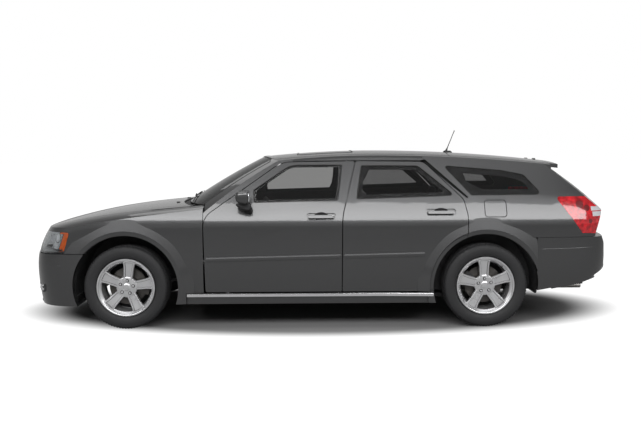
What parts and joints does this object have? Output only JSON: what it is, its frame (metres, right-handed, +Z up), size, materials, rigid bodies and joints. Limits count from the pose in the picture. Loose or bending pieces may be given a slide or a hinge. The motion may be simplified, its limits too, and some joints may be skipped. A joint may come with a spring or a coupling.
{
  "type": "station wagon",
  "caption": "Five-door station wagon with a long bonnet, low sloping roof, opening doors, bonnet, tailgate and fuel flap, steered front wheels and turning wheels.",
  "frame": {"origin": "on the ground, below the middle of the car's length and width", "axes": "+X to the rear along the length, +Y to the car's right, +Z up; the nose looks along -X"},
  "size_m": [5.0171, 2.156, 1.6879],
  "materials": {
    "black_plastic": "matte",
    "clear_glass": "tinted clear",
    "dark_metal": "satin",
    "dash_plastic": "grained",
    "engine_metal": "cast",
    "lamp_body": "gloss",
    "lamp_lens": "clear",
    "paint": "metallic gloss",
    "pipe_steel": "dull",
    "privacy_glass": "dark tint",
    "rim_alloy": "satin silver",
    "seat_cloth": "woven",
    "tail_lens": "gloss",
    "tyre": "matt",
    "wheel_grip": "grained"
  },
  "bodies": {
    "car_body": {"floor_pan": "dark_metal", "body_side_left": "paint", "body_side_right": "paint", "roof_panel": "paint", "front_fenders": "paint", "front_bumper": "paint", "rear_bumper": "paint", "grille": "paint", "headlamps": "lamp_body", "headlamp_lenses": "lamp_lens", "tail_lamps": "tail_lens", "windscreen": "clear_glass", "fixed_glass": "privacy_glass", "cowl": "black_plastic", "dashboard": "dash_plastic", "front_seats": "seat_cloth", "rear_seat": "seat_cloth", "engine_block": "engine_metal", "exhaust": "pipe_steel", "front_suspension": "dark_metal", "rear_suspension": "dark_metal", "antenna": "black_plastic"},
    "bonnet": {"bonnet": "paint"},
    "tailgate": {"tailgate": "paint", "tailgate_glass": "privacy_glass"},
    "fuel_flap": {"fuel_flap": "paint"},
    "steering_wheel": {"steering_wheel": "wheel_grip"},
    "door_front_left": {"door_front_left": "paint", "glass_front_left": "clear_glass", "mirror_left": "paint"},
    "door_rear_left": {"door_rear_left": "paint", "glass_rear_left": "privacy_glass"},
    "knuckle_left": {"knuckle_left": "dark_metal"},
    "wheel_front_left": {"wheel_front_left": "rim_alloy", "tyre_front_left": "tyre"},
    "wheel_rear_left": {"wheel_rear_left": "rim_alloy", "tyre_rear_left": "tyre"},
    "door_front_right": {"door_front_right": "paint", "glass_front_right": "clear_glass", "mirror_right": "paint"},
    "door_rear_right": {"door_rear_right": "paint", "glass_rear_right": "privacy_glass"},
    "knuckle_right": {"knuckle_right": "dark_metal"},
    "wheel_front_right": {"wheel_front_right": "rim_alloy", "tyre_front_right": "tyre"},
    "wheel_rear_right": {"wheel_rear_right": "rim_alloy", "tyre_rear_right": "tyre"}
  },
  "joints": [
    {"name": "bonnet_hinge", "type": "hinge", "parent": "car_body", "child": "bonnet", "pos_m": [-1.1, 0, 1.036], "axis": [0, 1, 0], "range_deg": [0, 50]},
    {"name": "tailgate_hinge", "type": "hinge", "parent": "car_body", "child": "tailgate", "pos_m": [2.008, 0, 1.4156], "axis": [0, -1, 0], "range_deg": [0, 80]},
    {"name": "fuel_flap_hinge", "type": "hinge", "parent": "car_body", "child": "fuel_flap", "pos_m": [1.394, -0.8776, 1.012], "axis": [0, -0.4069, -0.9135], "range_deg": [0, 90]},
    {"name": "door_front_left_hinge", "type": "hinge", "parent": "car_body", "child": "door_front_left", "pos_m": [-0.976, -0.926, 0.7], "axis": [0, 0, -1], "range_deg": [0, 68]},
    {"name": "door_rear_left_hinge", "type": "hinge", "parent": "car_body", "child": "door_rear_left", "pos_m": [0.196, -0.926, 0.7], "axis": [0, 0, -1], "range_deg": [0, 70]},
    {"name": "steer_left", "type": "hinge", "parent": "car_body", "child": "knuckle_left", "pos_m": [-1.654, -0.73, 0.356], "axis": [0, 0, 1], "range_deg": [-35, 35]},
    {"name": "wheel_front_left_spin", "type": "hinge", "parent": "knuckle_left", "child": "wheel_front_left", "pos_m": [-1.654, -0.8, 0.356], "axis": [0, 1, 0], "continuous": true},
    {"name": "wheel_rear_left_spin", "type": "hinge", "parent": "car_body", "child": "wheel_rear_left", "pos_m": [1.394, -0.8, 0.356], "axis": [0, 1, 0], "continuous": true},
    {"name": "door_front_right_hinge", "type": "hinge", "parent": "car_body", "child": "door_front_right", "pos_m": [-0.976, 0.926, 0.7], "axis": [0, 0, 1], "range_deg": [0, 68]},
    {"name": "door_rear_right_hinge", "type": "hinge", "parent": "car_body", "child": "door_rear_right", "pos_m": [0.196, 0.926, 0.7], "axis": [0, 0, 1], "range_deg": [0, 70]},
    {"name": "steer_right", "type": "hinge", "parent": "car_body", "child": "knuckle_right", "pos_m": [-1.654, 0.73, 0.356], "axis": [0, 0, 1], "range_deg": [-35, 35]},
    {"name": "wheel_front_right_spin", "type": "hinge", "parent": "knuckle_right", "child": "wheel_front_right", "pos_m": [-1.654, 0.8, 0.356], "axis": [0, 1, 0], "continuous": true},
    {"name": "wheel_rear_right_spin", "type": "hinge", "parent": "car_body", "child": "wheel_rear_right", "pos_m": [1.394, 0.8, 0.356], "axis": [0, 1, 0], "continuous": true},
    {"name": "steering", "type": "hinge", "parent": "car_body", "child": "steering_wheel", "pos_m": [-0.42, -0.37, 0.905], "axis": [0.9063, 0, 0.4226], "range_deg": [-490, 490]}
  ],
  "couplings": [
    {"joint": "steer_right", "follows": "steer_left", "ratio": 1},
    {"joint": "steering", "follows": "steer_left", "ratio": 14}
  ]
}
